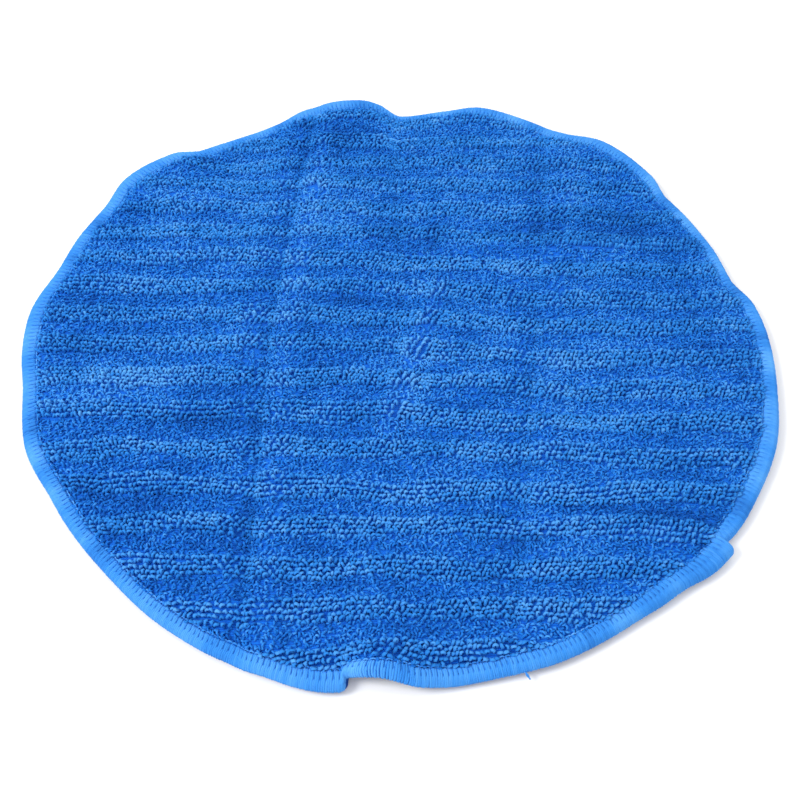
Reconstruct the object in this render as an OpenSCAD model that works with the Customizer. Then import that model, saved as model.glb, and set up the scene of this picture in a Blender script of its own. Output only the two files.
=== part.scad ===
// Round terry polishing pad: a layered cloth disc with an overlocked edge.
// It is creased in thirds, and the two outer thirds fold up over the middle one.
// The pad lies face up: backing at z = 0, loops on top, bands of loops along X.

/* [Disc] */
// Diameter over the overlocked edge
pad_d = 330; // [250:5:400]
// Thickness of the hook-and-loop backing cloth
backing_t = 1.0; // [0.8:0.1:1.4]
// Thickness of the foam core
core_t = 2.0; // [1.6:0.1:3]
// Thickness of the knitted ground that carries the loops
ground_t = 1.0; // [0.8:0.1:1.4]

/* [Loops] */
// Height of the fine, tight loops above the ground
fine_h = 3.0; // [2:0.1:4]
// Height of the coarse, twisted loops above the ground
coarse_h = 4.0; // [3.2:0.1:5]
// Distance from one coarse band to the next
band_pitch = 17.6; // [12:0.1:24]
// How far the middle coarse band lies behind the middle of the pad
band_shift = 4; // [-8:0.5:8]
// Share of the pitch that the coarse band takes
coarse_share = 0.5; // [0.35:0.01:0.65]
// Height of the trimmed loops where they meet the edge
rim_loop_h = 1.0; // [0.6:0.1:1.6]
// Width over which the loops slope down to the edge
rim_slope_w = 5.0; // [3:0.5:8]

/* [Edge] */
// Thickness of the pad where the overlock squeezes it
edge_t = 5.2; // [4.6:0.1:6]
// How far the overlock reaches in from the edge
bite_w = 7.0; // [5:0.5:9]
// Thickness of the layer of looper threads
looper_t = 0.8; // [0.6:0.1:1]
// Diameter of the needle thread
needle_thread_d = 0.6; // [0.4:0.05:0.8]
// Extra thickness where the overlock runs over its own start
overlap_t = 0.6; // [0.4:0.1:0.8]
// Angle at which the doubled stretch of overlock begins
overlap_from = -58; // [-66:1:-50]
// Angle at which the doubled stretch of overlock ends
overlap_to = -38; // [-48:1:-30]
// Diameter of the loose thread end
tail_d = 0.8; // [0.6:0.1:1]
// Length of the loose thread end outside the edge
tail_l = 3.0; // [1:0.5:5]
// Angle of the loose thread end round the pad
tail_angle = -74; // [-80:1:-72]

/* [Folds] */
// Distance of each crease from the middle of the pad
crease_x = 57; // [45:1:65]
// Gap between neighbouring thirds at a crease
crease_gap = 0.4; // [0.3:0.05:0.6]
// Air between two thirds that lie folded on each other
fold_gap = 4; // [0.4:0.2:6]
// Angle through which each outer third folds
fold_angle = 179; // [170:0.5:179.5]

/* [Hidden] */
$fn = 96;
pad_r = pad_d / 2;
core_z = backing_t;
ground_z = core_z + core_t;
loop_z = ground_z + ground_t;
top_z = loop_z + coarse_h;

// The overlock's squeezed section: a flat band with a round outer edge.
mid_z = edge_t / 2;
bite_r = pad_r - bite_w;
squeeze_w = 2;
squeeze_r = bite_r - squeeze_w;
cut_r = pad_r - 2 * looper_t;
squeezed_t = edge_t - 2 * looper_t;
squeezed_backing_t = 0.22 * squeezed_t;
squeezed_ground_t = 0.33 * squeezed_t;
squeezed_core_z = looper_t + squeezed_backing_t;
squeezed_ground_z = edge_t - looper_t - squeezed_ground_t;
squeezed_top_z = edge_t - looper_t;

// The loops stop short of the needle thread, which lies in the groove before the overlock.
loop_r = bite_r - needle_thread_d - 0.4;
needle_r = bite_r - needle_thread_d / 2 - 0.1;
rim_loop_z = squeezed_top_z;

// Heights of the two fold axes. The left third folds first and lies on the middle one.
// The right third folds second and lies on the left one, whose rim stands up by left_rise.
left_axis_z = top_z + fold_gap / 2;
left_rise = (pad_r - crease_x) * sin(180 - fold_angle);
right_axis_z = (2 * left_axis_z + left_rise + fold_gap + top_z) / 2;
echo(left_axis = [-crease_x, 0, left_axis_z], right_axis = [crease_x, 0, right_axis_z]);

big = 2 * pad_d;
band_count = ceil(pad_r / band_pitch);

// The space of one third of the pad: side is -1 for left, 0 for centre and 1 for right.
module third_space(side) {
    edge = crease_x + crease_gap / 2;
    if (side == 0)
        translate([-crease_x + crease_gap / 2, -big / 2, -big / 2])
            cube([2 * crease_x - crease_gap, big, big]);
    else
        translate([side > 0 ? edge : -edge - big, -big / 2, -big / 2])
            cube([big, big, big]);
}

// One third of whatever it is given.
module third(side) {
    intersection() {
        children();
        third_space(side);
    }
}

// A layer of the pad: its own height in the middle, and another where the overlock squeezes it.
module layer(z, t, squeezed_z, squeezed_layer_t) {
    rotate_extrude()
        polygon([
            [0, z],
            [squeeze_r, z],
            [bite_r, squeezed_z],
            [cut_r, squeezed_z],
            [cut_r, squeezed_z + squeezed_layer_t],
            [bite_r, squeezed_z + squeezed_layer_t],
            [squeeze_r, z + t],
            [0, z + t]
        ]);
}

module backing(side) {
    color("midnightblue")
        third(side)
            layer(0, backing_t, looper_t, squeezed_backing_t);
}

module core(side) {
    color("lightsteelblue")
        third(side)
            layer(core_z, core_t, squeezed_core_z, squeezed_ground_z - squeezed_core_z);
}

module ground(side) {
    color("royalblue")
        third(side)
            layer(ground_z, ground_t, squeezed_ground_z, squeezed_ground_t);
}

// The space that loops of one height fill, sloping down to the edge.
module loop_space(h) {
    rotate_extrude()
        polygon([
            [0, loop_z],
            [squeeze_r, loop_z],
            [loop_r, rim_loop_z - 0.05],
            [loop_r, rim_loop_z + rim_loop_h],
            [loop_r - rim_slope_w, loop_z + h],
            [0, loop_z + h]
        ]);
}

// Every band of one kind: a fine band lies half a pitch behind each coarse one.
module band_space(is_coarse) {
    share = is_coarse ? coarse_share : 1 - coarse_share;
    middle_y = band_shift + (is_coarse ? 0 : band_pitch / 2);
    for (i = [-band_count - 1 : band_count])
        translate([-pad_r, i * band_pitch + middle_y - share * band_pitch / 2, loop_z])
            cube([pad_d, share * band_pitch, coarse_h + 1]);
}

module coarse_loops(side) {
    color("dodgerblue")
        third(side)
            intersection() {
                loop_space(coarse_h);
                band_space(true);
            }
}

module fine_loops(side) {
    color("mediumblue")
        third(side)
            intersection() {
                loop_space(fine_h);
                band_space(false);
            }
}

// The needle thread, as one line of stitches just inside the overlock.
module needle_thread(side) {
    color("deepskyblue")
        third(side)
            rotate_extrude()
                translate([needle_r, squeezed_top_z + needle_thread_d / 2])
                    circle(d = needle_thread_d, $fn = 8);
}

// The overlock's outer outline, grown by extra.
module edge_outline(extra) {
    translate([bite_r - extra, -extra])
        square([bite_w - mid_z + extra, edge_t + 2 * extra]);
    translate([pad_r - mid_z, mid_z])
        circle(r = mid_z + extra, $fn = 48);
}

// Looper threads round the edge: the upper one covers the face side, the lower one the back.
module looper_shell(is_upper) {
    rotate_extrude()
        intersection() {
            difference() {
                edge_outline(0);
                translate([bite_r - 1, looper_t])
                    square([cut_r - bite_r + 1, squeezed_t]);
            }
            translate([bite_r - 1, is_upper ? mid_z : 0])
                square([bite_w + 2, mid_z]);
        }
}

module upper_looper(side) {
    color("cornflowerblue")
        third(side)
            difference() {
                looper_shell(true);
                tail_rod();
            }
}

module lower_looper(side) {
    color("steelblue")
        third(side)
            looper_shell(false);
}

// The stretch where the overlock runs over its own start: a second upper layer.
module overlap_patch() {
    color("lightskyblue")
        rotate([0, 0, overlap_from])
            rotate_extrude(angle = overlap_to - overlap_from)
                intersection() {
                    difference() {
                        edge_outline(overlap_t);
                        edge_outline(0);
                    }
                    translate([bite_r, mid_z])
                        square([bite_w + 2, mid_z + 2]);
                }
}

// The loose thread end, rooted in the looper threads.
module tail_rod() {
    rotate([0, 0, tail_angle])
        translate([pad_r - looper_t, 0, mid_z + tail_d / 2 + 0.2])
            rotate([0, 90, 0])
                cylinder(d = tail_d, h = tail_l + looper_t, $fn = 24);
}

module thread_tail() {
    color("skyblue")
        tail_rod();
}

backing(-1);  // backing_left
backing(0);  // backing_centre
backing(1);  // backing_right
core(-1);  // core_left
core(0);  // core_centre
core(1);  // core_right
ground(-1);  // ground_left
ground(0);  // ground_centre
ground(1);  // ground_right
fine_loops(-1);  // fine_loops_left
fine_loops(0);  // fine_loops_centre
fine_loops(1);  // fine_loops_right
coarse_loops(-1);  // coarse_loops_left
coarse_loops(0);  // coarse_loops_centre
coarse_loops(1);  // coarse_loops_right
needle_thread(-1);  // needle_thread_left
needle_thread(0);  // needle_thread_centre
needle_thread(1);  // needle_thread_right
upper_looper(-1);  // upper_looper_left
upper_looper(0);  // upper_looper_centre
upper_looper(1);  // upper_looper_right
lower_looper(-1);  // lower_looper_left
lower_looper(0);  // lower_looper_centre
lower_looper(1);  // lower_looper_right
overlap_patch();
thread_tail();
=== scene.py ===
"""The looks of a round terry polishing pad, lying face up on a pale floor.

Lengths are in millimetres in the pad's own frame, and MM turns them into metres.
The pad is first laid out flat, as it was cut. lie() then takes each flat point to where it rests.
"""

import math

import bpy
import numpy as np
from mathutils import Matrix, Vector


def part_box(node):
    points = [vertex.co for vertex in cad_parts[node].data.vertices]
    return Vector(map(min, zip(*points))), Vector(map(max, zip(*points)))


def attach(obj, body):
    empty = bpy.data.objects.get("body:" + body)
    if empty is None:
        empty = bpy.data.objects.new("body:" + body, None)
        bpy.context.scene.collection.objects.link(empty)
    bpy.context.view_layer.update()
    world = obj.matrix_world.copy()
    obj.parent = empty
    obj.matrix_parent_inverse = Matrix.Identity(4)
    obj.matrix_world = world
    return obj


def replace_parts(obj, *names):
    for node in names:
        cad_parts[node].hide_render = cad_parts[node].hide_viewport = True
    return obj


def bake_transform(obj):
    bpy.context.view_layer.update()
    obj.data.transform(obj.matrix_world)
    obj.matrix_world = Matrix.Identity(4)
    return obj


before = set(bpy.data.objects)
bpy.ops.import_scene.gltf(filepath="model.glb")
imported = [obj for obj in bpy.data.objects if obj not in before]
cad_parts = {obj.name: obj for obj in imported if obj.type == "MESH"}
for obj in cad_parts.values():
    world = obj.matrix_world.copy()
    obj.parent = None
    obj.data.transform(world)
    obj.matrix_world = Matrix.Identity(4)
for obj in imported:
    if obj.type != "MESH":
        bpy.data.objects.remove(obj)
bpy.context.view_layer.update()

MM = 0.001
SEED = 41

# ---------------------------------------------------------------- sizes from the frame


def node_box(node):
    """A CAD node's lowest and highest corner, in millimetres."""
    low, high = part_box(node)
    return np.array(low) / MM, np.array(high) / MM


PAD_R = node_box("lower_looper_centre")[1][1]
CREASE_X = node_box("ground_centre")[1][0]
EDGE_T = node_box("upper_looper_centre")[1][2]
EDGE_MID = EDGE_T / 2
NEEDLE_R = node_box("needle_thread_centre")[1][1] - 0.3
LOOP_R = node_box("fine_loops_centre")[1][1]
BITE_W = PAD_R - NEEDLE_R - 0.4
SQUEEZE_W = 2.0  # over which the layers close up before the overlock
CORE_Z = node_box("core_centre")[0][2]
GROUND_Z = node_box("ground_centre")[0][2]
LOOP_Z = node_box("fine_loops_centre")[0][2]
COARSE_H = node_box("coarse_loops_centre")[1][2] - LOOP_Z
FINE_H = node_box("fine_loops_centre")[1][2] - LOOP_Z
LAYER_R = PAD_R - 2.4  # the layers end under the overlock
ROOT_H = 1.3  # the loops' crowded roots, which close the ground cloth over to this height
BAND_PITCH = 17.6
BAND_SHIFT = 4.0
COARSE_SHARE = 0.50
BAND_LAP = 0.035  # how far fine loops stand among the coarse ones, as a share of the pitch
STITCH = 2.1

# ---------------------------------------------------------------- how the cloth lies


def smooth(t):
    """Eases from 0 to 1."""
    t = np.clip(t, 0, 1)
    return t * t * (3 - 2 * t)


def waves(seed, length, count=9):
    """A smooth, repeatable bumpy field of about unit height and the given wavelength."""
    rng = np.random.default_rng(seed)
    turn = rng.uniform(0, 2 * math.pi, count)
    size = rng.uniform(0.7, 1.5, count) * 2 * math.pi / length
    shift = rng.uniform(0, 2 * math.pi, count)

    def field(x, y):
        total = np.zeros(np.broadcast(x, y).shape)
        for k in range(count):
            total += np.sin(size[k] * (x * math.cos(turn[k]) + y * math.sin(turn[k])) + shift[k])
        return total / math.sqrt(count)

    return field


def round_curve(points):
    """A smooth closed curve through (degrees, value) points, level at each high and low one."""
    at = np.array([p[0] for p in points], float)
    value = np.array([p[1] for p in points], float)
    at = np.concatenate([at[-2:] - 360, at, at[:3] + 360])
    value = np.concatenate([value[-2:], value, value[:3]])
    rise = np.diff(value) / np.diff(at)
    both = rise[:-1] * rise[1:]
    slope = np.zeros(len(at))
    slope[1:-1] = np.where(both > 0, 2 * both / np.where(both > 0, rise[:-1] + rise[1:], 1), 0)

    def curve(degrees):
        degrees = np.mod(degrees, 360)
        k = np.clip(np.searchsorted(at, degrees, side="right") - 1, 0, len(at) - 2)
        span = at[k + 1] - at[k]
        t = (degrees - at[k]) / span
        a = value[k] * (1 + 2 * t) * (1 - t) ** 2 + slope[k] * span * t * (1 - t) ** 2
        return a + value[k + 1] * t * t * (3 - 2 * t) + slope[k + 1] * span * t * t * (t - 1)

    return curve


# The outline's share of the pad's radius, by angle from +X.
outline = round_curve([
    (0, 0.990), (6, 0.980), (12, 0.947), (20, 0.952), (33, 0.951), (39, 0.981), (50, 0.994), (58, 0.968),
    (66, 0.964), (74, 0.965), (81, 0.931), (90, 0.903), (94.5, 0.952), (98, 0.961), (107, 0.957),
    (114, 0.937), (130, 0.957), (134.5, 1.002), (144, 1.023), (151, 1.000), (158, 0.999), (166, 0.990),
    (176, 1.013), (184, 1.006), (191, 0.995), (201, 1.004), (212, 0.986), (224, 0.984), (238, 0.997),
    (256, 1.006), (268, 0.982), (273, 0.991), (283, 0.988), (290, 0.993), (303, 0.986), (309, 0.988),
    (316, 1.003), (328, 1.002), (338, 1.007), (349, 0.995),
])
# How far the edge lifts, in mm.
edge_lift = round_curve([
    (0, 1.0), (20, 0.5), (38, 2.2), (49, 3.6), (60, 1.0), (72, 3.6), (80, 2.0), (88, 0.4), (93, 1.6),
    (98, 5.4), (102, 6.2), (110, 4.2), (120, 0.8), (132, 2.0), (142, 3.2), (155, 1.0), (175, 1.6),
    (195, 0.5), (215, 0.9), (235, 0.3), (255, 0.3), (262, 0.3), (265, 2.6), (268.5, 5.4), (273, 2.2),
    (278, 0.3), (290, 0.9), (305, 0.3), (325, 0.6), (345, 1.2),
])
# Where the edge gathers into a pleat it slides round, and steps in or out. Both are in mm.
edge_slide = round_curve([
    (0, 0), (255, 0), (259, 0.2), (262.4, 1.4), (265, -4.2), (269, -1.8), (274, 0), (312, 0),
    (316, 0.5), (318.9, 1.8), (320.5, -1.8), (324, -0.5), (328, 0),
])
edge_step = round_curve([
    (0, 0), (252, 0), (257, 0.8), (260.5, 1.8), (262, 1.7), (263.2, 0.4), (265, -1.8), (268, -1.0),
    (272, 0), (311, 0), (315, 1.2), (318.9, 2.2), (320.5, -1.2), (323, -0.4), (326, 0),
])

slow_waves = waves(SEED + 1, 95)
quick_waves = waves(SEED + 2, 42)
streaks = waves(SEED + 3, 60)
band_waves = waves(SEED + 4, 70)
width_waves = waves(SEED + 5, 64)
hem_waves = waves(SEED + 6, 26)


REST_H = 1.1  # the middle height of the underside off the floor
CREASE_DEPTH = {-1: 0.9, 1: 0.5}  # by side: -1 is left and 1 is right
# painted light and painted shade beside each crease, by side
CREASE_PAINTED_SHADE = {-1: 1.0, 1: 0.4}


def hump(x, y, at, half, turn):
    """A soft round or long bump of unit height at a point, with its half widths and turn in degrees."""
    c, s = math.cos(math.radians(turn)), math.sin(math.radians(turn))
    along = (x - at[0]) * c + (y - at[1]) * s
    across = (y - at[1]) * c - (x - at[0]) * s
    return np.exp(-((along / half[0]) ** 2) - (across / half[1]) ** 2)


# The wrinkles in the cloth: middle, half length and half width, turn in degrees, height, and how much
# lighter the pile is drawn there: painted light above 0 and painted shade below 0, for how light falls on
# it.
WRINKLES = [
    ((78, 49), (62, 6), 2, 1.9, 0.00),
    ((62, 63), (44, 9), 0, -0.6, -0.10),
    ((112, 66), (22, 15), 8, -0.4, -0.16),
    ((-4, 61), (8, 8), 0, -0.6, -0.16),
    ((16, 60), (6, 13), 0, -0.4, -0.14),
    ((36, 87), (18, 5), -12, -0.4, -0.10),
    ((46, 38), (15, 5), 0, 0.2, 0.12),
    ((7, -14), (44, 5), 73, 1.9, 0.10),
    ((0, -38), (14, 5), 68, 0.3, 0.12),
    ((12, -60), (9, 7), 0, -0.6, -0.12),
    ((30, -4), (6, 9), 0, -0.3, -0.08),
    ((-18, 18), (26, 4), -2, -0.5, -0.20),
    ((36, -38), (12, 5), 0, -0.3, -0.10),
    ((-42, 92), (15, 8), 0, 0.8, 0.12),
    ((-44, 72), (15, 5), 0, 0.5, 0.14),
    ((-46, 45), (6, 22), 4, 0.3, 0.06),
    ((-33, 137), (15, 14), 0, 0.9, -0.12),
    ((-51, 122), (7, 22), 0, -0.8, -0.12),
    ((-3, 112), (5, 40), 2, -1.5, -0.10),
    ((24, 118), (16, 30), 0, 1.1, 0.00),
    ((84, 88), (5, 15), -4, 0.4, 0.10),
    ((-100, 86), (32, 5), -3, 0.6, 0.10),
    ((-127, 75), (13, 5), 0, -0.6, -0.14),
    ((-124, 28), (16, 5), 0, 0.7, 0.10),
    ((-138, 17), (12, 4), 0, -0.5, -0.12),
    ((-120, -31), (28, 7), 10, 1.2, 0.14),
    ((-84, -50), (34, 6), -2, -0.8, -0.12),
    ((-122, -84), (26, 6), -14, -0.9, -0.12),
    ((-108, -102), (16, 5), -30, -0.7, -0.10),
    ((107, -94), (32, 5), -8, -1.3, -0.24),
    ((98, -106), (30, 6), -8, 1.0, 0.04),
    ((70, -84), (34, 5), 4, 0.6, 0.08),
    ((62, -16), (20, 6), -20, 0.5, 0.08),
    ((44, -52), (22, 4), 0, 0.4, 0.10),
    ((133, 16), (5, 17), 0, -0.6, -0.12),
    ((148, 14), (6, 20), 0, 0.6, 0.06),
]


def crease_line(side, y):
    """Where a packing crease shows, across the pad from front to back. Neither runs quite straight."""
    if side < 0:
        return -57 + 0.08 * np.maximum(y, 0)
    return 61 + 0.12 * y


def ridge(off, middle, half):
    """A soft ridge of unit height along a line, off being the distance from it."""
    return np.exp(-(((off - middle) / half) ** 2))


def rest_height(x, y):
    """How far the pad's underside is off the floor, away from the edge's own waves."""
    z = REST_H + 0.60 * slow_waves(x, y) + 0.28 * quick_waves(x, y)
    for at, half, turn, height, _ in WRINKLES:
        z += height * hump(x, y, at, half, turn)
    for side, depth in CREASE_DEPTH.items():  # each crease is a valley between two low swells
        off = np.abs(x - crease_line(side, y))
        z += depth * (ridge(off, 9, 6) - ridge(off, 0, 4))
    return 0.5 * (z + np.sqrt(z * z + 0.5))  # never under the floor


def pile_tone_and_painted_shade(x, y):
    """How much lighter or darker the pile is drawn at a place: random streaks and patches of tone, with
    painted light and painted shade on the wrinkles and creases.
    """
    total = 0.075 * streaks(x, 5.5 * y) + 0.04 * slow_waves(x + 31, y)
    # painted light and painted shade for each wrinkle, by its tone in WRINKLES
    for at, half, turn, _, tone in WRINKLES:
        total += 1.8 * tone * hump(x, y, at, half, turn)
    for side, strength in CREASE_PAINTED_SHADE.items():  # painted light on the right of a crease and painted shade on its left, as on a valley lit from the left
        off = x - crease_line(side, y)
        total += strength * (0.12 * ridge(off, 7, 5) - 0.14 * ridge(off, -4, 4))
    return total


def lie(x, y, pleated=True):
    """Where a point of the flat pad's underside rests, as (n, 3), with or without the edge's pleats."""
    share = np.hypot(x, y) / PAD_R
    degrees = np.degrees(np.arctan2(y, x))
    grow = 1 + (outline(degrees) - 1) * np.clip(share, 0, 1.2) ** 3
    inward = np.clip(1 - share, 0, 1) * PAD_R
    lift = edge_lift(degrees) * np.exp(-((inward / 21) ** 1.6))
    settle = 0.35 + 0.65 * smooth(inward / 26)
    slide = pleated * edge_slide(degrees) * np.exp(-((inward / 9) ** 2)) / PAD_R
    grow = grow + pleated * edge_step(degrees) * np.exp(-((inward / 6) ** 2)) / PAD_R
    rest_x = grow * (x * np.cos(slide) - y * np.sin(slide))
    rest_y = grow * (x * np.sin(slide) + y * np.cos(slide))
    return np.stack([rest_x, rest_y, rest_height(x, y) * settle + lift], axis=-1)


def lie_frame(x, y):
    """Rest points, and the smooth cloth's directions along flat x, flat y and out of its face."""
    step = 0.4
    here = lie(x, y)
    along = (lie(x + step, y, False) - lie(x - step, y, False)) / (2 * step)
    across = (lie(x, y + step, False) - lie(x, y - step, False)) / (2 * step)
    out = np.cross(along, across)
    out /= np.linalg.norm(out, axis=-1, keepdims=True)
    return here, along, across, out


def lift_off(x, y, height):
    """Points at a height out of the underside, for flat points x, y."""
    here, _, _, out = lie_frame(x, y)
    return here + out * np.asarray(height)[..., None]


def band_offset(x, y):
    """How far the bands wander along Y from their straight places."""
    drift = -4.6 * np.tanh(x / 55) * np.exp(-(((y - 5) / 88) ** 2))
    bow = 2.4 * np.exp(-((x / 48) ** 2)) * smooth((y + 110) / 80)
    return 1.4 + drift + bow + 1.1 * band_waves(x, y * 1.6)


def band_phase(x, y):
    """The band a flat point is in, counted from the middle, and where it is in it: 0 is its centre."""
    along = (y - band_offset(x, y) - BAND_SHIFT) / BAND_PITCH
    band = np.round(along)
    return band.astype(int), along - band


def band_tone(x, y):
    """How much lighter the coarse bands look than the fine ones: more at the front than elsewhere."""
    at_front = smooth((-y - 20) / 60)
    at_back = smooth((y - 30) / 50)
    at_right = smooth((x - 50) / 40)
    strength = 0.035 + 0.05 * at_front - 0.07 * at_back - 0.07 * at_right
    phase = band_phase(x, y)[1]
    return strength * np.cos(2 * math.pi * (phase - 0.08))


# ---------------------------------------------------------------- meshes


def add_mesh(name, verts, faces, material, values):
    """A smooth mesh object from millimetre points and a list of face index arrays.

    values holds what the material reads from the points, by attribute name.
    """
    mesh = bpy.data.meshes.new(name)
    verts = np.asarray(verts, np.float32).reshape(-1, 3) * MM
    counts = np.concatenate([np.full(len(f), f.shape[1]) for f in faces])
    corners = np.concatenate([f.ravel() for f in faces]).astype(np.int32)
    starts = np.concatenate([[0], np.cumsum(counts)[:-1]]).astype(np.int32)
    mesh.vertices.add(len(verts))
    mesh.vertices.foreach_set("co", verts.ravel())
    mesh.loops.add(len(corners))
    mesh.loops.foreach_set("vertex_index", corners)
    mesh.polygons.add(len(counts))
    mesh.polygons.foreach_set("loop_start", starts)
    mesh.update(calc_edges=True)
    mesh.polygons.foreach_set("use_smooth", np.full(len(counts), True))
    for key, value in values.items():
        value = np.asarray(value, np.float32)
        if key == "flat":
            mesh.attributes.new(key, "FLOAT_VECTOR", "POINT").data.foreach_set("vector", value.ravel())
        else:
            mesh.attributes.new(key, "FLOAT", "POINT").data.foreach_set("value", value.ravel())
    mesh.materials.append(material)
    piece = bpy.data.objects.new(name, mesh)
    bpy.context.scene.collection.objects.link(piece)
    return piece


def tubes(paths, side, radius, sides, ply, twist, start=0.0):
    """Closed tubes along paths (n, k, 3). side (n, 3) is roughly square to each path.

    ply makes the section two-stranded, and twist turns the strands along the path from start.
    Returns points (n, k, sides, 3) and the faces.
    """
    n, k, _ = paths.shape
    tangent = np.gradient(paths, axis=1)
    tangent /= np.linalg.norm(tangent, axis=-1, keepdims=True) + 1e-9
    u = np.cross(tangent, side[:, None, :])
    u /= np.linalg.norm(u, axis=-1, keepdims=True) + 1e-9
    v = np.cross(tangent, u)
    angle = np.arange(sides) * 2 * math.pi / sides
    turn = twist * np.linspace(0, 1, k)[None, :, None] + np.reshape(start, (-1, 1, 1))
    size = np.atleast_2d(radius)[..., None] * (1 + ply * np.cos(2 * angle + turn))
    ring = np.cos(angle)[:, None] * u[:, :, None, :] + np.sin(angle)[:, None] * v[:, :, None, :]
    points = paths[:, :, None, :] + ring * size[..., None]
    return points, tube_faces(n, k, sides)


def tube_faces(n, k, sides):
    """The quads of n tubes of k rings, and the two end faces of each."""
    first = (np.arange(n) * k * sides)[:, None, None]
    ring = (np.arange(k - 1) * sides)[None, :, None]
    a = np.arange(sides)[None, None, :]
    b = (np.arange(sides) + 1)[None, None, :] % sides
    base = first + ring
    quads = np.stack([base + a, base + b, base + sides + b, base + sides + a], axis=-1).reshape(-1, 4)
    low = first[:, 0, :] + np.arange(sides)[::-1][None, :]
    high = first[:, 0, :] + (k - 1) * sides + np.arange(sides)[None, :]
    return [quads, low, high]


def slab_faces(index):
    """The faces of two like grids of points, the second turned over and counted on from the first."""
    corners = [index[:-1, :-1], index[1:, :-1], index[1:, 1:], index[:-1, 1:]]
    quads = np.stack(corners, axis=-1).reshape(-1, 4)
    return [quads, quads[:, ::-1] + index.size]


def tube_values(points, tint, rise, turns):
    """What yarn_material reads from tubes: a tint for each tube, how far up each ring is, which sets the
    yarn's painted root shade, and twist.
    """
    shape = points.shape[:3]
    along = np.linspace(0, turns, shape[1])
    around = np.arange(shape[2]) * 4 * math.pi / shape[2]
    return {
        "tint": np.broadcast_to(np.asarray(tint)[:, None, None], shape),
        "rise": np.broadcast_to(np.asarray(rise)[..., None], shape),
        "twist": np.broadcast_to(along[:, None] + around, shape),
    }


SIDES = {-1: "left", 1: "right"}


def hang_on(piece):
    """Bakes the piece's placement into its mesh."""
    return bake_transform(piece)


def stands_for(piece, part, side):
    """The piece replaces a part's CAD solids in the middle third and in one outer third."""
    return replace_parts(piece, f"{part}_centre", f"{part}_{SIDES[side]}")


# ---------------------------------------------------------------- materials


def new_material(name, roughness, sheen, sheen_tint):
    """A Principled material with a cloth sheen, and its node tree."""
    mat = bpy.data.materials.new(name)
    mat.use_nodes = True
    tree = mat.node_tree
    shader = tree.nodes["Principled BSDF"]
    shader.inputs["Roughness"].default_value = roughness
    shader.inputs["Specular IOR Level"].default_value = 0.12
    shader.inputs["Sheen Weight"].default_value = sheen
    shader.inputs["Sheen Roughness"].default_value = 0.45
    shader.inputs["Sheen Tint"].default_value = (*sheen_tint, 1)
    return mat, tree, shader


def node(tree, kind, **inputs):
    """A new node with some of its inputs set."""
    made = tree.nodes.new(kind)
    for key, value in inputs.items():
        made.inputs[key.replace("_", " ")].default_value = value
    return made


def noise(tree, scale, roughness=0.5):
    """A noise texture in the object's own coordinates, in features per metre."""
    place = tree.nodes.new("ShaderNodeTexCoord")
    made = node(tree, "ShaderNodeTexNoise", Scale=scale, Detail=2.0, Roughness=roughness)
    tree.links.new(place.outputs["Object"], made.inputs["Vector"])
    return made.outputs["Fac"]


def ramp(tree, source, stops):
    """A colour ramp from (position, colour) stops."""
    made = tree.nodes.new("ShaderNodeValToRGB")
    line = made.color_ramp
    line.elements[0].position, line.elements[0].color = stops[0][0], (*stops[0][1], 1)
    line.elements[1].position, line.elements[1].color = stops[-1][0], (*stops[-1][1], 1)
    for position, colour in stops[1:-1]:
        line.elements.new(position).color = (*colour, 1)
    tree.links.new(source, made.inputs["Fac"])
    return made.outputs["Color"]


def attribute(tree, name):
    """A value kept on the mesh's points."""
    made = tree.nodes.new("ShaderNodeAttribute")
    made.attribute_name = name
    return made.outputs["Fac"]


def maths(tree, operation, a, b):
    """A maths node on two outputs or numbers."""
    made = tree.nodes.new("ShaderNodeMath")
    made.operation = operation
    for socket, value in zip(made.inputs, (a, b)):
        if isinstance(value, (int, float)):
            socket.default_value = value
        else:
            tree.links.new(value, socket)
    return made.outputs[0]


def add_bump(tree, shader, height, strength, distance):
    """A bump from a height output."""
    made = node(tree, "ShaderNodeBump", Strength=strength, Distance=distance)
    tree.links.new(height, made.inputs["Height"])
    tree.links.new(made.outputs["Normal"], shader.inputs["Normal"])


def yarn_material(name, dark, middle, light, sheen):
    """Yarn with its own tint for each loop, painted shade darkening it towards its root, and fine twisted
    fibres.
    """
    mat, tree, shader = new_material(name, 0.85, sheen, (0.20, 0.60, 1.0))
    patch = maths(tree, "MULTIPLY", maths(tree, "SUBTRACT", noise(tree, 38), 0.5), 0.7)
    tint = maths(tree, "ADD", attribute(tree, "tint"), patch)
    # painted shade: each loop's colour darkens towards its root, low in the pile
    painted_root_shade = maths(tree, "ADD", maths(tree, "MULTIPLY", attribute(tree, "rise"), 0.22), 0.78)
    mixed = maths(tree, "MULTIPLY", tint, painted_root_shade)
    colour = ramp(tree, mixed, [(0.0, dark), (0.45, middle), (1.0, light)])
    tree.links.new(colour, shader.inputs["Base Color"])
    fibres = maths(tree, "SINE", attribute(tree, "twist"), 0)
    fuzz = noise(tree, 2600, 0.6)
    height = maths(tree, "ADD", maths(tree, "MULTIPLY", fibres, 0.5), fuzz)
    add_bump(tree, shader, height, 0.5, 0.00025)
    rough = maths(tree, "ADD", maths(tree, "MULTIPLY", fuzz, 0.25), 0.7)
    tree.links.new(rough, shader.inputs["Roughness"])
    return mat


def flat_texture(tree, kind, **inputs):
    """A texture that follows the cloth, so that it folds with it."""
    place = tree.nodes.new("ShaderNodeAttribute")
    place.attribute_name = "flat"
    made = node(tree, kind, **inputs)
    tree.links.new(place.outputs["Vector"], made.inputs["Vector"])
    return made


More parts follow.
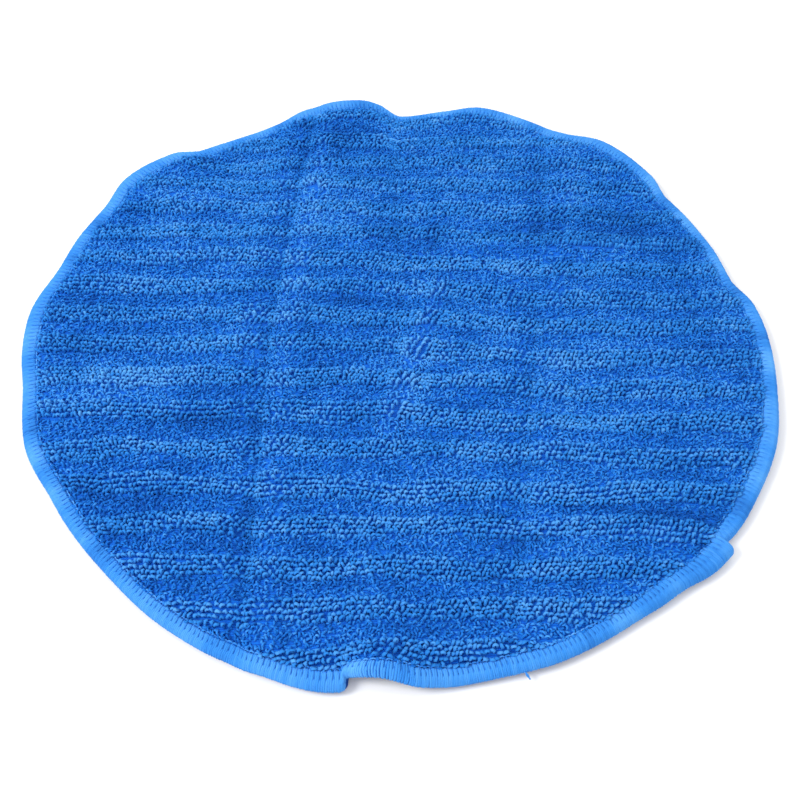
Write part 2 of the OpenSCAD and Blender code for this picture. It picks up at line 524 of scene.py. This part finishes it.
def cloth_material(name, dark, light, weave, pile, depth):
    """Knitted or brushed cloth: fine rows of stitches under a short, uneven pile."""
    mat, tree, shader = new_material(name, 0.9, 0.35, (0.2, 0.4, 0.9))
    rows = flat_texture(tree, "ShaderNodeTexWave", Scale=weave, Distortion=1.5, Detail=1.0)
    rows.bands_direction = "Y"  # rows that a fold doesn't stretch apart
    tufts = flat_texture(tree, "ShaderNodeTexVoronoi", Scale=pile)
    fuzz = flat_texture(tree, "ShaderNodeTexNoise", Scale=pile * 1.7, Detail=4.0, Roughness=0.65)
    patch = flat_texture(tree, "ShaderNodeTexNoise", Scale=45.0, Detail=2.0)
    fine = maths(tree, "MULTIPLY", maths(tree, "ADD", rows.outputs["Fac"], fuzz.outputs["Fac"]), 0.5)
    fine = maths(tree, "SUBTRACT", fine, maths(tree, "MULTIPLY", tufts.outputs["Distance"], 0.35))
    broad = maths(tree, "MULTIPLY", patch.outputs["Fac"], 0.35)
    tone = maths(tree, "ADD", maths(tree, "MULTIPLY", fine, 0.7), broad)
    tree.links.new(ramp(tree, tone, [(0.2, dark), (0.7, light)]), shader.inputs["Base Color"])
    add_bump(tree, shader, fine, 0.8, depth)
    rough = maths(tree, "ADD", maths(tree, "MULTIPLY", fine, 0.3), 0.7)
    tree.links.new(rough, shader.inputs["Roughness"])
    return mat


def foam_material():
    """Pale blue open-cell foam."""
    mat, tree, shader = new_material("foam", 0.95, 0.1, (0.8, 0.9, 1.0))
    cells = flat_texture(tree, "ShaderNodeTexVoronoi", Scale=1400.0)
    stops = [(0.1, (0.22, 0.36, 0.62)), (0.7, (0.5, 0.66, 0.86))]
    colour = ramp(tree, cells.outputs["Distance"], stops)
    tree.links.new(colour, shader.inputs["Base Color"])
    add_bump(tree, shader, cells.outputs["Distance"], 0.5, 0.0004)
    return mat


# Each yarn: its dark, middle and light colour, and its sheen.
COARSE = yarn_material(
    "coarse_yarn", (0.002, 0.100, 0.44), (0.021, 0.215, 0.66), (0.094, 0.36, 0.79), 0.16
)
FINE = yarn_material(
    "fine_yarn", (0.001, 0.076, 0.39), (0.010, 0.175, 0.65), (0.064, 0.33, 0.82), 0.14
)
THREAD = yarn_material(
    "edge_thread", (0.003, 0.07, 0.36), (0.036, 0.25, 0.74), (0.120, 0.41, 0.88), 0.18
)
# The lower looper's thread is a darker copy of the edge thread: painted shade on the overlock's
# underside.
SHADED_THREAD = yarn_material(
    "edge_thread_under_shaded", (0.001, 0.010, 0.08), (0.004, 0.04, 0.24), (0.012, 0.09, 0.42), 0.15
)
# Each cloth: its dark and light colour, its rows and tufts in features per metre, and its bump.
GROUND = cloth_material(
    "ground_knit", (0.002, 0.085, 0.50), (0.008, 0.20, 0.80), 340, 620, 0.0004
)
BACKING = cloth_material(
    "brushed_backing", (0.001, 0.008, 0.045), (0.010, 0.050, 0.21), 380, 900, 0.0007
)
FOAM = foam_material()

# ---------------------------------------------------------------- the layers


LAYER_ROWS = 121
WIDE_COLUMNS = 56
BEND_REACH = 16  # to each side of a crease, the columns are 1 mm apart

# Each layer's underside and upper side, in the open pad and where the overlock squeezes it.
BACKING_Z = ((0.0, CORE_Z), (0.8, 1.6))
FOAM_Z = ((CORE_Z + 0.02, GROUND_Z - 0.02), (1.62, 3.18))
KNIT_Z = ((GROUND_Z, LOOP_Z + ROOT_H), (3.2, 4.4))


def squeeze(r):
    """0 in the open pad, 1 where the overlock squeezes it."""
    return smooth((r - (PAD_R - BITE_W - SQUEEZE_W)) / SQUEEZE_W)


def layer_columns():
    """Where a layer's mesh has its columns: close together where it bends and towards the edge."""
    wide = LAYER_R * np.sin(np.radians(np.linspace(0, 89.2, WIDE_COLUMNS)))
    wide = wide[np.abs(wide - CREASE_X) > BEND_REACH + 1]
    bend = CREASE_X + np.arange(-BEND_REACH, BEND_REACH + 1)
    return np.sort(np.concatenate([wide, bend]))


def layer(name, material, part, side, heights):
    """Half of one layer of the pad, from the middle line to the edge, as a closed slab."""
    columns = np.sort(side * layer_columns())
    half_chord = np.sqrt(LAYER_R**2 - columns**2)
    x = np.repeat(columns, LAYER_ROWS)
    y = np.outer(half_chord, np.sin(np.linspace(-math.pi / 2, math.pi / 2, LAYER_ROWS))).ravel()
    squeezed = squeeze(np.hypot(x, y))
    bottom, top = (lift_off(x, y, a + (b - a) * squeezed) for a, b in zip(*heights))
    index = np.arange(x.size).reshape(len(columns), LAYER_ROWS)
    rim = np.concatenate([index[:, 0], index[-1, 1:], index[-2::-1, -1], index[0, -2:0:-1]])
    after = np.roll(rim, -1)
    wall = np.stack([rim, rim + x.size, after + x.size, after], axis=-1)
    flat = np.stack([x, y, 0 * x], axis=-1) * MM
    values = {"flat": np.concatenate([flat, flat])}
    verts = np.concatenate([top, bottom])
    piece = add_mesh(name, verts, [*slab_faces(index), wall], material, values)
    stands_for(piece, part, side)
    return hang_on(piece)


def layers(side):
    """The backing, foam core and ground cloth of one half."""
    half = SIDES[side]
    backing = layer(f"backing_cloth_{half}", BACKING, "backing", side, BACKING_Z)
    core = layer(f"foam_core_{half}", FOAM, "core", side, FOAM_Z)
    ground = layer(f"ground_knit_{half}", GROUND, "ground", side, KNIT_Z)


# ---------------------------------------------------------------- the loops


def loop_limit(x, y):
    """How far out the loops reach at the angle of a flat point."""
    return PAD_R - bite(np.degrees(np.arctan2(y, x))) - 0.1


def arches(rng, x, y, height, half, radius, rings, lean, cross, turn):
    """The centre lines of loops rooted at flat points, a direction square to each, and how far up
    each point of a line is, from 0 to 1.
    """
    here, along, across, out = lie_frame(x, y)
    n = len(x)
    t = np.linspace(0.0, 1.0, rings)[None, :]
    swing = np.pi * t
    tall = (height[:, None] - radius) * np.abs(np.sin(swing)) ** 0.6
    spread = -half[:, None] * np.cos(swing) * (0.55 + 0.6 * np.sin(swing))
    heading = turn[:, None] + cross[:, None] * np.sin(swing) * np.sign(0.5 - t)
    r = np.hypot(x, y)
    out_lean = 0.9 * smooth((r - LOOP_R + 5) / 5)
    lean_way = rng.uniform(0, 2 * math.pi, n)
    lean_x = lean * np.cos(lean_way) + out_lean * x / r
    lean_y = lean * np.sin(lean_way) + out_lean * y / r
    a = spread * np.cos(heading) + lean_x[:, None] * np.sin(swing) ** 2
    b = spread * np.sin(heading) + lean_y[:, None] * np.sin(swing) ** 2
    root = here + out * (LOOP_Z - 0.25)
    path = (
        root[:, None, :]
        + along[:, None, :] * a[..., None]
        + across[:, None, :] * b[..., None]
        + out[:, None, :] * tall[..., None]
    )
    side = along * -np.sin(turn)[:, None] + across * np.cos(turn)[:, None]
    return path, side, np.sin(swing) * np.ones((n, 1))


def loop_piece(name, part, material, side, x, y, rng, look):
    """One band's loops of one kind, in one half, as one mesh."""
    n = len(x)
    r = np.hypot(x, y)
    off = x - crease_line(side, y)
    short = 0.7 + 0.3 * smooth((loop_limit(x, y) - r) / 3.0)
    short = short * (1 - 0.15 * np.exp(-((off / 2.2) ** 2)))
    height = look["height"] * short * rng.normal(1.0, look["uneven"], n).clip(0.75, 1.25)
    half = look["half"] * rng.uniform(0.8, 1.25, n)
    lean = look["lean"] * rng.uniform(0.1, 1.0, n)
    cross = rng.normal(look["cross"], 0.35, n)
    turn = rng.normal(look["turn"], look["turn_spread"], n)
    radius = look["radius"] * rng.uniform(0.88, 1.14, n)
    path, square, rise = arches(rng, x, y, height, half, look["radius"], look["rings"], lean, cross, turn)
    start = rng.uniform(0, math.pi, n)
    points, faces = tubes(path, square, radius[:, None], look["sides"], look["ply"], look["twist"], start)
    # the tint takes painted light and painted shade from the wrinkles and creases, with random tone and
    # the bands' tone
    tint = rng.normal(0.5, look["tint"], n) + pile_tone_and_painted_shade(x, y) + band_tone(x, y)
    values = tube_values(points, tint, rise, 9)
    piece = add_mesh(name, points, faces, material, values)
    stands_for(piece, part, side)
    return hang_on(piece)


# How each kind of loop stands: step and jitter are along X and along Y, in mm, and tint and uneven
# are how much one loop differs from the next.
COARSE_LOOK = dict(
    step=(1.95, BAND_PITCH / 9), jitter=(0.24, 0.11), height=COARSE_H + 0.1, uneven=0.07,
    half=0.95, lean=0.6, cross=0.6, turn=0.4, turn_spread=0.6,
    radius=0.57, rings=7, sides=6, ply=0.14, twist=5.0, tint=0.11,
)
FINE_LOOK = dict(
    step=(1.40, BAND_PITCH / 13), jitter=(0.36, 0.34), height=FINE_H - 0.1, uneven=0.10,
    half=1.15, lean=0.8, cross=0.9, turn=0.0, turn_spread=1.6,
    radius=0.41, rings=6, sides=5, ply=0.08, twist=4.0, tint=0.15,
)


def grid_points(rng, step, jitter):
    """Flat points in staggered rows over the whole pad, with a row along the middle of each band."""
    reach = math.ceil(1.1 * PAD_R / step[1])
    rows = BAND_SHIFT + step[1] * np.arange(-reach, reach + 1)
    cols = np.arange(-LOOP_R, LOOP_R, step[0])
    x, y = np.meshgrid(cols, rows)
    x = x + (np.arange(len(rows)) % 2)[:, None] * step[0] / 2
    x = x + rng.normal(0, jitter[0], x.shape)
    y = y + rng.normal(0, jitter[1], y.shape)
    return x.ravel(), y.ravel()


def band_points(rng, coarse, look):
    """Where loops of one kind stand, and the number of the band that each is in."""
    x, y = grid_points(rng, look["step"], look["jitter"])
    if coarse:  # rows follow the bands
        y = y + band_offset(x, y)
    inside = np.hypot(x, y) < loop_limit(x, y)
    x, y = x[inside], y[inside]
    band, phase = band_phase(x, y)
    half_share = 0.5 * COARSE_SHARE * (1 + 0.17 * width_waves(x, 2.6 * y))
    if coarse:
        kept = np.abs(phase) < half_share
    else:
        kept = np.abs(phase) > half_share - BAND_LAP
        band = np.where(phase > 0, band + 1, band)  # a fine band lies before its coarse one
    return x[kept], y[kept], band[kept]


def loops():
    """Every band of coarse and fine loops, split at the middle line."""
    rng = np.random.default_rng(SEED)
    for kind, look, material in (("coarse", COARSE_LOOK, COARSE), ("fine", FINE_LOOK, FINE)):
        x, y, band = band_points(rng, kind == "coarse", look)
        for side in (-1, 1):
            for number in np.unique(band):
                here = (band == number) & (x * side > 0)
                if here.sum() < 3:
                    continue
                name = f"{kind}_band_{number - band.min() + 1:02d}_{SIDES[side]}"
                loop_piece(name, f"{kind}_loops", material, side, x[here], y[here], rng, look)


# ---------------------------------------------------------------- the overlocked edge

PUFF = 0.3  # how far the overlock's face side swells
ROLL_INSET = 0.45  # how far the under-layer lies below the threads' outline
ROLL_T = 0.4
# a rise of 0.8 gives the under-layer a little of the yarns' painted root shade
ROLL_LOOK = dict(tint=0.38, rise=0.8, twist=0.0)
UPPER_END = 0.6  # where on the overlock's section the upper looper threads meet the lower ones
THREADS = 3  # looper threads to each stitch
THREAD_R = 0.56
NEEDLE_THREAD_R = 0.36
PINCH_IN = 2.5  # how far out of the overlock's inner side one thread of each stitch is pulled in
THREAD_TURNS = 24


def bite(degrees):
    """How far the overlock reaches in: a little wider at the back right than at the front left."""
    return BITE_W + 0.7 * np.cos(np.radians(degrees - 65))


def edge_point(degrees, inward, height):
    """A rest point from an angle, a distance in from the pad's edge and a height."""
    a = np.radians(degrees)
    r = PAD_R - inward
    return lift_off(r * np.cos(a), r * np.sin(a), height)


def edge_section(t, width):
    """The overlock's outline from its inner face side (t = 0) round the edge to its inner back (t = 1).

    Returns distance in from the edge and height.
    """
    flat = width - EDGE_MID
    round_len = math.pi * EDGE_MID
    s = t * (2 * flat + round_len)
    on_top = s < flat
    under = s > flat + round_len
    angle = (s - flat) / EDGE_MID
    below = EDGE_MID + (s - flat - round_len)
    inward = np.where(under, below, EDGE_MID - EDGE_MID * np.sin(angle))
    inward = np.where(on_top, width - s, inward)
    height = np.where(under, 0.0, EDGE_MID + EDGE_MID * np.cos(angle))
    height = np.where(on_top, EDGE_T, height)
    puff = PUFF * np.sin(np.pi * np.clip(s / flat, 0, 1)) * on_top
    return inward, height + puff


def scale_section(inward, height, k):
    """A section grown or shrunk by k about the middle of its round edge."""
    away = np.where(inward < EDGE_MID, EDGE_MID - (EDGE_MID - inward) * k, inward)
    return away, EDGE_MID + (height - EDGE_MID) * k


def half_angles(side):
    """The angles at which one half's edge begins and ends."""
    return (-90.0, 90.0) if side > 0 else (90.0, 270.0)


def stitch_angles(start, end, pitch):
    """Angles about a pitch apart that fill the stretch from start to end."""
    count = int(round((end - start) / pitch))
    return start + (np.arange(count) + 0.5) * (end - start) / count


def edge_roll(name, material, side, t_from, t_to):
    """The threads' closed under-layer, as a curved strip."""
    around, steps = 600, 12
    degrees = np.linspace(*half_angles(side), around)[:, None]
    t = np.linspace(t_from, t_to, steps)[None, :]
    inward, height = edge_section(t * np.ones((around, 1)), bite(degrees))

    def shell(inset):
        section = scale_section(inward, height, 1 - inset / EDGE_MID)
        return edge_point(degrees * np.ones_like(t), *section).reshape(-1, 3)

    index = np.arange(around * steps).reshape(around, steps)
    rim = np.concatenate([index[0, :], index[1:, -1], index[-1, -2::-1], index[-2:0:-1, 0]])
    after = np.roll(rim, -1)
    wall = np.stack([rim, after, after + index.size, rim + index.size], axis=-1)
    verts = np.concatenate([shell(ROLL_INSET), shell(ROLL_INSET + ROLL_T)])
    values = {key: np.full(len(verts), value) for key, value in ROLL_LOOK.items()}
    return add_mesh(name, verts, [*slab_faces(index), wall], material, values)


def wrap_paths(middle, width, pitch, swell, span):
    """The centre lines of looper threads round the edge, how deep their ends dive, and how much each
    point is pulled in by the needle thread.
    """
    t = np.linspace(*span, 11)[None, :]
    turn = np.arange(len(middle)) % THREADS
    slant = ((turn - 0.5) * pitch * 0.5)[:, None]
    degrees = middle[:, None] + slant * (t - span[0]) / (span[1] - span[0]) - slant / 2
    inward, height = edge_section(t * np.ones_like(width), width)
    k = 1 + (swell - THREAD_R * 0.55) / EDGE_MID
    away, rise = scale_section(inward, height, k)
    along = np.linspace(0, 1, t.size)
    dive = 0.5 * np.clip(1 - np.minimum(along, 1 - along) / 0.12, 0, 1)[None, :]
    pinch = (turn == 0)[:, None] * (height > EDGE_MID) * ridge(width - inward, PINCH_IN, 0.6)
    rise = rise - dive * np.sign(height - EDGE_MID) - 0.9 * pinch
    return edge_point(degrees, away, rise), dive, pinch


def wrap_threads(name, material, span, angles, rng, grow=0.0):
    """Looper threads side by side across the edge, with one of each stitch's threads pulled in and drawn
    darker: painted shade in the pinch.

    span is the stretch of the section that they cover, from 0 to 1, and angles the stretch of edge.
    They stand grow higher than usual from a little way past the first angle.
    """
    pitch = math.degrees(STITCH / THREADS / PAD_R)
    middle = stitch_angles(*angles, pitch)
    count = len(middle)
    middle = middle + rng.normal(0, pitch * 0.07, count)
    width = (bite(middle) + rng.normal(0, 0.16, count))[:, None]
    swell = grow * smooth((middle - angles[0]) / 6)[:, None]
    path, dive, pinch = wrap_paths(middle, width, pitch, swell, span)
    a = np.radians(middle)
    square = np.stack([-np.sin(a), np.cos(a), np.zeros(count)], axis=-1)
    size = THREAD_R * rng.uniform(0.9, 1.1, (count, 1)) * (1 - 0.25 * (dive > 0.3))
    points, faces = tubes(path, square, size, 6, 0.08, 6.0, rng.uniform(0, math.pi, count))
    hem = hem_waves(PAD_R * np.cos(a), PAD_R * np.sin(a))
    tint = 0.55 + 0.13 * hem + rng.normal(0, 0.05, count)
    # the pulled-in thread's lower rise draws it darker: painted shade in the pinch
    values = tube_values(points, tint, 1 - 1.3 * pinch, THREAD_TURNS)
    return add_mesh(name, points, faces, material, values)


def needle_stitches(name, side, rng):
    """The needle thread's short stitches along the inside of the overlock."""
    pitch = math.degrees(STITCH / PAD_R)
    middle = stitch_angles(*half_angles(side), pitch)
    count = len(middle)
    t = np.linspace(0, 1, 6)[None, :]
    degrees = middle[:, None] + (t - 0.5) * pitch * 0.92
    inward = bite(middle)[:, None] + 0.15 + 0.25 * np.sin(np.pi * t)
    rise = EDGE_T - 0.55 + 0.65 * np.sin(np.pi * t) ** 0.6
    path = edge_point(degrees, inward, rise * np.ones_like(degrees))
    a = np.radians(middle)
    square = np.stack([np.cos(a), np.sin(a), np.zeros(count)], axis=-1)
    start = rng.uniform(0, math.pi, count)
    points, faces = tubes(path, square, NEEDLE_THREAD_R, 6, 0.08, 5.0, start)
    values = tube_values(points, rng.normal(0.62, 0.10, count), 1.0, THREAD_TURNS)
    return add_mesh(name, points, faces, THREAD, values)


def half_edge(side, rng):
    """One half's overlock: a close under-layer, its threads and the needle stitches."""
    half, angles = SIDES[side], half_angles(side)
    upper, lower = (0.0, UPPER_END + 0.02), (UPPER_END - 0.02, 1.0)
    for piece, part in (
        (edge_roll(f"edge_roll_upper_{half}", THREAD, side, 0.0, UPPER_END), "upper_looper"),
        (edge_roll(f"edge_roll_lower_{half}", SHADED_THREAD, side, UPPER_END, 1.0), "lower_looper"),
        (wrap_threads(f"upper_threads_{half}", THREAD, upper, angles, rng), "upper_looper"),
        (wrap_threads(f"lower_threads_{half}", SHADED_THREAD, lower, angles, rng), "lower_looper"),
        (needle_stitches(f"needle_stitches_{half}", side, rng), "needle_thread"),
    ):
        stands_for(piece, part, side)
        hang_on(piece)


def edge():
    """The overlock round both halves, the stretch where it runs over its own start, and its tail."""
    rng = np.random.default_rng(SEED + 7)
    for side in (-1, 1):
        half_edge(side, rng)
    patch = wrap_threads("overlap_threads", THREAD, (0.0, UPPER_END), (-58, -40.5), rng, grow=0.75)
    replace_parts(patch, "overlap_patch")
    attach(patch, "right_third")
    thread_tail()


def thread_tail():
    """The loose end of the looper threads at the front edge: two strands twisted together."""
    tail = node_box("thread_tail")
    at = (tail[0] + tail[1]) / 2
    degrees = math.degrees(math.atan2(at[1], at[0]))
    t = np.linspace(0, 1, 12)
    strand_r = 0.36 * (1 - 0.45 * t)
    twist_r = 0.32 - 0.1 * t
    for k in range(2):
        around = 7 * t + k * math.pi
        inward = 1.4 - 4.4 * t
        away = degrees + 0.30 * t * t + np.degrees(twist_r * np.sin(around) / PAD_R)
        height = 2.4 + 0.5 * t - 1.2 * t * t + twist_r * np.cos(around)
        path = edge_point(away, inward, height)[None]
        points, faces = tubes(path, np.array([[0.0, 0.0, 1.0]]), strand_r[None], 6, 0.10, 9.0)
        values = tube_values(points, [0.6], 1.0, THREAD_TURNS)
        piece = add_mesh(f"tail_strand_{k + 1}", points, faces, THREAD, values)
        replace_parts(piece, "thread_tail")
        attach(piece, "centre_third")


# ---------------------------------------------------------------- the stage


def floor():
    """A wide pale floor."""
    mesh = bpy.data.meshes.new("floor")
    s = 6.0  # metres
    mesh.from_pydata([(-s, -s, 0), (s, -s, 0), (s, s, 0), (-s, s, 0)], [], [(0, 1, 2, 3)])
    plane = bpy.data.objects.new("floor", mesh)
    bpy.context.scene.collection.objects.link(plane)
    mat = bpy.data.materials.new("floor")
    mat.use_nodes = True
    shader = mat.node_tree.nodes["Principled BSDF"]
    shader.inputs["Base Color"].default_value = (0.93, 0.93, 0.93, 1)
    shader.inputs["Roughness"].default_value = 0.9
    mesh.materials.append(mat)


def area_light(name, at, size, power):
    """A square soft light, aimed at the middle of the pad."""
    data = bpy.data.lights.new(name, "AREA")
    data.shape, data.size, data.energy = "SQUARE", size, power
    lamp = bpy.data.objects.new(name, data)
    bpy.context.scene.collection.objects.link(lamp)
    lamp.location = at
    lamp.rotation_euler = (-Vector(at)).to_track_quat("-Z", "Y").to_euler()


def lights():
    """A soft key from the left, a weak fill from the back right and an even sky."""
    area_light("key", (-1.05, -0.30, 1.15), 0.55, 15)
    area_light("fill", (0.8, 0.7, 1.3), 1.2, 3)
    world = bpy.data.worlds.new("sky")
    world.use_nodes = True
    world.node_tree.nodes["Background"].inputs["Color"].default_value = (1, 1, 1, 1)
    world.node_tree.nodes["Background"].inputs["Strength"].default_value = 1.0
    bpy.context.scene.world = world
    bpy.context.scene.view_settings.view_transform = "Standard"


def camera():
    """The view from the front, looking down at 53 degrees."""
    data = bpy.data.cameras.new("camera")
    data.sensor_width, data.lens = 36, 48.24
    cam = bpy.data.objects.new("camera", data)
    bpy.context.scene.collection.objects.link(cam)
    back, up = 1.865 * PAD_R * MM, 2.225 * PAD_R * MM
    face = 3 * MM  # about how high the pad's face lies
    tilt = 53.41
    cam.location = (0, -back, up + face)
    cam.rotation_euler = (math.radians(90 - tilt), 0, 0)
    bpy.context.scene.camera = cam


camera()
lights()
floor()
for side in (-1, 1):
    layers(side)
loops()
edge()
